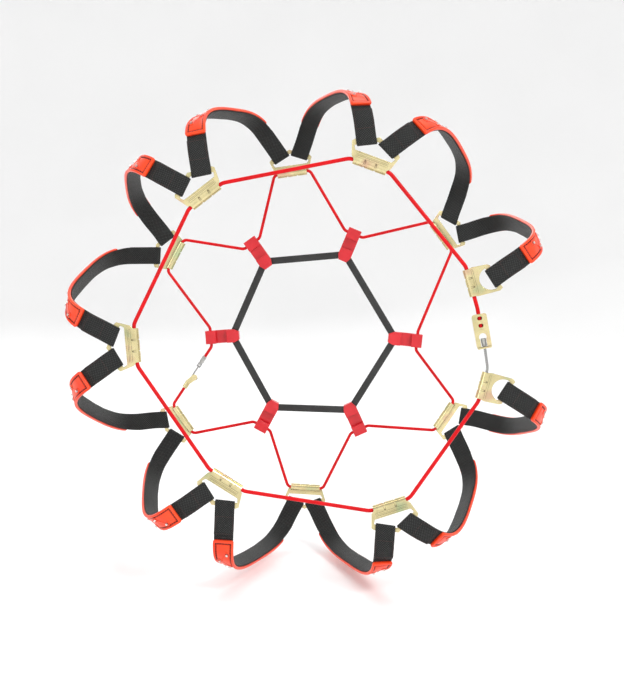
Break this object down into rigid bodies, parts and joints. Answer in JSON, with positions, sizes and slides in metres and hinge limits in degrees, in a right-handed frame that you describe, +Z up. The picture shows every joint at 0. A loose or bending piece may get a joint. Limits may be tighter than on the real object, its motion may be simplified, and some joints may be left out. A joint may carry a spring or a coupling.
{
  "type": "tire snow chain",
  "caption": "Textile tire snow chain: studded treads on webbing straps between an inner and an outer steel cable, tensioned by plastic hooks on a rubber ring.",
  "frame": {"origin": "centre of the wheel that it is fitted to, on the wheel's axis and in the tire's mid-plane", "axes": "+Y along the wheel's axis to the street side with the tension ring, +Z up with the closures at the sides as fitted, +X to the right seen from the vehicle's side"},
  "size_m": [0.6265, 0.2305, 0.6461],
  "materials": {
    "red_pvc": "smooth PVC jacket over the wire rope",
    "wire_rope": "stranded galvanised wire",
    "ferrule_steel": "pressed ferrule",
    "yellow_zinc": "pressed sheet, yellow zinc plating",
    "black_webbing": "coarse woven polypropylene",
    "red_tread": "moulded polyurethane with a raised border",
    "stud_steel": "small hard-metal studs",
    "red_plastic": "injection moulded",
    "black_rubber": "flat moulded band"
  },
  "bodies": {
    "net": {"inner_cable_jacket": "red_pvc", "outer_cable_jacket": "red_pvc", "inner_cable_core": "wire_rope", "outer_cable_core": "wire_rope", "inner_tail_wire": "wire_rope", "inner_end_ferrule": "ferrule_steel", "outer_end_ferrule": "ferrule_steel", "inner_double_plate_1": "yellow_zinc", "inner_double_plate_2": "yellow_zinc", "inner_double_plate_3": "yellow_zinc", "inner_double_plate_4": "yellow_zinc", "inner_double_plate_5": "yellow_zinc", "inner_single_plate_1": "yellow_zinc", "inner_single_plate_2": "yellow_zinc", "outer_double_plate_1": "yellow_zinc", "outer_double_plate_2": "yellow_zinc", "outer_double_plate_3": "yellow_zinc", "outer_double_plate_4": "yellow_zinc", "outer_double_plate_5": "yellow_zinc", "outer_double_plate_6": "yellow_zinc", "outer_catch_plate": "yellow_zinc", "webbing_strap_01": "black_webbing", "webbing_strap_02": "black_webbing", "webbing_strap_03": "black_webbing", "webbing_strap_04": "black_webbing", "webbing_strap_05": "black_webbing", "webbing_strap_06": "black_webbing", "webbing_strap_07": "black_webbing", "webbing_strap_08": "black_webbing", "webbing_strap_09": "black_webbing", "webbing_strap_10": "black_webbing", "webbing_strap_11": "black_webbing", "webbing_strap_12": "black_webbing", "tread_pad_01": "red_tread", "tread_pad_02": "red_tread", "tread_pad_03": "red_tread", "tread_pad_04": "red_tread", "tread_pad_05": "red_tread", "tread_pad_06": "red_tread", "tread_pad_07": "red_tread", "tread_pad_08": "red_tread", "tread_pad_09": "red_tread", "tread_pad_10": "red_tread", "tread_pad_11": "red_tread", "tread_pad_12": "red_tread", "tread_studs": "stud_steel", "tension_ring": "black_rubber"},
    "inner_lock": {"inner_lock_plate": "yellow_zinc", "inner_lock_cable": "red_pvc"},
    "outer_closure_hook": {"outer_wire_hook": "wire_rope"},
    "hook_1": {"tension_hook_1": "red_plastic"},
    "hook_2": {"tension_hook_2": "red_plastic"},
    "hook_3": {"tension_hook_3": "red_plastic"},
    "hook_4": {"tension_hook_4": "red_plastic"},
    "hook_5": {"tension_hook_5": "red_plastic"},
    "hook_6": {"tension_hook_6": "red_plastic"}
  },
  "joints": [
    {"name": "inner_lock_slide", "type": "slide", "parent": "net", "child": "inner_lock", "axis": [0.279, 0, -0.9603], "range_m": [0, 0.006]},
    {"name": "outer_closure_lift", "type": "hinge", "parent": "net", "child": "outer_closure_hook", "pos_m": [-0.16909, 0.1025, -0.05098], "axis": [0.8302, 0, -0.5574], "range_deg": [0, 30]},
    {"name": "hook_1_tilt", "type": "hinge", "parent": "net", "child": "hook_1", "pos_m": [0.15249, 0.1025, -0.01576], "axis": [-0.1028, 0, -0.9947], "range_deg": [0, 45], "stiffness_Nm_per_rad": 0.02, "springref_deg": -14.9, "deforming": ["tension_ring"]},
    {"name": "hook_2_tilt", "type": "hinge", "parent": "net", "child": "hook_2", "pos_m": [0.05864, 0.1025, 0.14088], "axis": [0.9232, 0, -0.3843], "range_deg": [0, 45], "stiffness_Nm_per_rad": 0.02, "springref_deg": -14.9, "deforming": ["tension_ring"]},
    {"name": "hook_3_tilt", "type": "hinge", "parent": "net", "child": "hook_3", "pos_m": [-0.09093, 0.1025, 0.12701], "axis": [0.8131, 0, 0.5821], "range_deg": [0, 45], "stiffness_Nm_per_rad": 0.02, "springref_deg": -14.9, "deforming": ["tension_ring"]},
    {"name": "hook_4_tilt", "type": "hinge", "parent": "net", "child": "hook_4", "pos_m": [-0.15297, 0.1025, -0.0115], "axis": [-0.075, 0, 0.9972], "range_deg": [0, 45], "stiffness_Nm_per_rad": 0.02, "springref_deg": -14.9, "deforming": ["tension_ring"]},
    {"name": "hook_5_tilt", "type": "hinge", "parent": "net", "child": "hook_5", "pos_m": [-0.0775, 0.1025, -0.14453], "axis": [-0.8813, 0, 0.4726], "range_deg": [0, 45], "stiffness_Nm_per_rad": 0.02, "springref_deg": -14.9, "deforming": ["tension_ring"]},
    {"name": "hook_6_tilt", "type": "hinge", "parent": "net", "child": "hook_6", "pos_m": [0.0681, 0.1025, -0.14875], "axis": [-0.9092, 0, -0.4163], "range_deg": [0, 45], "stiffness_Nm_per_rad": 0.02, "springref_deg": -14.9, "deforming": ["tension_ring"]}
  ]
}
